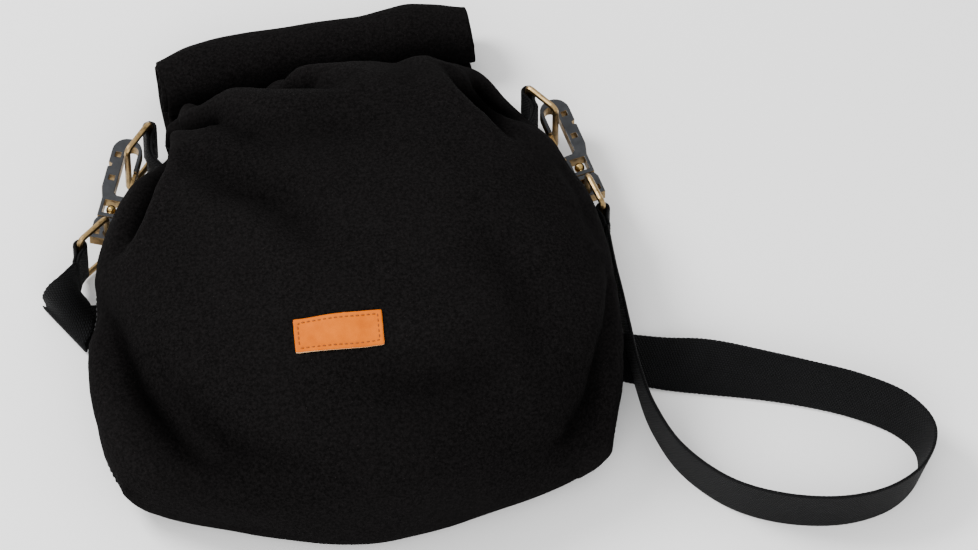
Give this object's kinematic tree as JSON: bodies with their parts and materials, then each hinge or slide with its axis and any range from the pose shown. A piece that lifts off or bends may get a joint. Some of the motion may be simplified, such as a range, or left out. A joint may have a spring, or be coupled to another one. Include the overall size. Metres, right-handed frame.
{
  "type": "roll-top rope storage bag",
  "caption": "Soft canvas roll-top shoulder bag lying on its back, with a webbing strap held by swivel snap hooks on rectangular rings.",
  "frame": {"origin": "on the flat of the back panel, in the plane the bag lies on, under the middle of the bag", "axes": "+X across the bag to its right-hand side, +Y up the bag towards the rolled mouth, +Z out of the front panel"},
  "size_m": [0.4679, 0.3395, 0.0982],
  "materials": {
    "canvas": "brushed black cotton canvas",
    "webbing": "ribbed black webbing",
    "leather": "satin orange tan",
    "brass": "antique satin",
    "hook_brass": "antique brass edges and dark faces",
    "brass_polished": "polished",
    "gunmetal": "dark grey satin",
    "steel": "bright",
    "stiffener": "matte"
  },
  "bodies": {
    "bag": {"front_panel": "canvas", "back_panel": "canvas", "base_panel": "canvas", "label": "leather", "shoulder_strap": "webbing", "left_anchor_webbing": "webbing", "left_strap_end": "webbing", "right_anchor_webbing": "webbing", "right_strap_end": "webbing"},
    "roll_top": {"roll_top": "canvas", "mouth_stiffener": "stiffener"},
    "left_anchor_ring": {"left_anchor_ring": "brass"},
    "left_strap_ring": {"left_strap_ring": "brass"},
    "left_shackle": {"left_swivel_shackle": "gunmetal", "left_swivel_post": "brass_polished"},
    "left_hook": {"left_hook_body": "hook_brass", "left_gate_pin": "steel", "left_gate_spring": "steel"},
    "left_gate": {"left_hook_gate": "brass"},
    "right_anchor_ring": {"right_anchor_ring": "brass"},
    "right_strap_ring": {"right_strap_ring": "brass"},
    "right_shackle": {"right_swivel_shackle": "gunmetal", "right_swivel_post": "brass_polished"},
    "right_hook": {"right_hook_body": "hook_brass", "right_gate_pin": "steel", "right_gate_spring": "steel"},
    "right_gate": {"right_hook_gate": "brass"}
  },
  "joints": [
    {"name": "roll_top_fold", "type": "hinge", "parent": "bag", "child": "roll_top", "pos_m": [-0.0074, 0.1241, 0.002], "axis": [0.9945, 0.1044, 0], "range_deg": [0, 10]},
    {"name": "left_anchor_ring_swing", "type": "hinge", "parent": "bag", "child": "left_anchor_ring", "pos_m": [-0.1035, 0.0995, 0.022], "axis": [0, 0, 1], "range_deg": [-3, 3]},
    {"name": "left_strap_ring_swing", "type": "hinge", "parent": "bag", "child": "left_strap_ring", "pos_m": [-0.14717, 0.02704, 0.022], "axis": [0, 0, 1], "range_deg": [-3.5, 8]},
    {"name": "left_shackle_swing", "type": "hinge", "parent": "left_strap_ring", "child": "left_shackle", "pos_m": [-0.1317, 0.04049, 0.022], "axis": [0, 0, 1], "range_deg": [-11.6, 5.08]},
    {"name": "left_hook_swivel", "type": "hinge", "parent": "left_shackle", "child": "left_hook", "pos_m": [-0.12835, 0.05727, 0.022], "axis": [0.309, 0.9511, 0], "range_deg": [-6, 6]},
    {"name": "left_gate_open", "type": "hinge", "parent": "left_hook", "child": "left_gate", "pos_m": [-0.11961, 0.0599, 0.022], "axis": [0, 0, 1], "range_deg": [0, 14], "stiffness_Nm_per_rad": 0.02, "springref_deg": -17.19},
    {"name": "right_anchor_ring_swing", "type": "hinge", "parent": "bag", "child": "right_anchor_ring", "pos_m": [0.1032, 0.1013, 0.022], "axis": [0, 0, 1], "range_deg": [-3, 3]},
    {"name": "right_strap_ring_swing", "type": "hinge", "parent": "bag", "child": "right_strap_ring", "pos_m": [0.13515, 0.02166, 0.022], "axis": [0, 0, 1], "range_deg": [-3.5, 8]},
    {"name": "right_shackle_swing", "type": "hinge", "parent": "right_strap_ring", "child": "right_shackle", "pos_m": [0.12899, 0.04122, 0.022], "axis": [0, 0, 1], "range_deg": [-11.6, 5.08]},
    {"name": "right_hook_swivel", "type": "hinge", "parent": "right_shackle", "child": "right_hook", "pos_m": [0.12666, 0.05817, 0.022], "axis": [-0.2504, 0.9681, 0], "range_deg": [-6, 6]},
    {"name": "right_gate_open", "type": "hinge", "parent": "right_hook", "child": "right_gate", "pos_m": [0.1181, 0.06133, 0.022], "axis": [0, 0, -1], "range_deg": [0, 14], "stiffness_Nm_per_rad": 0.02, "springref_deg": -17.19}
  ],
  "couplings": [
    {"joint": "left_shackle_swing", "follows": "left_strap_ring_swing", "ratio": -1.45},
    {"joint": "right_shackle_swing", "follows": "right_strap_ring_swing", "ratio": -1.45}
  ]
}
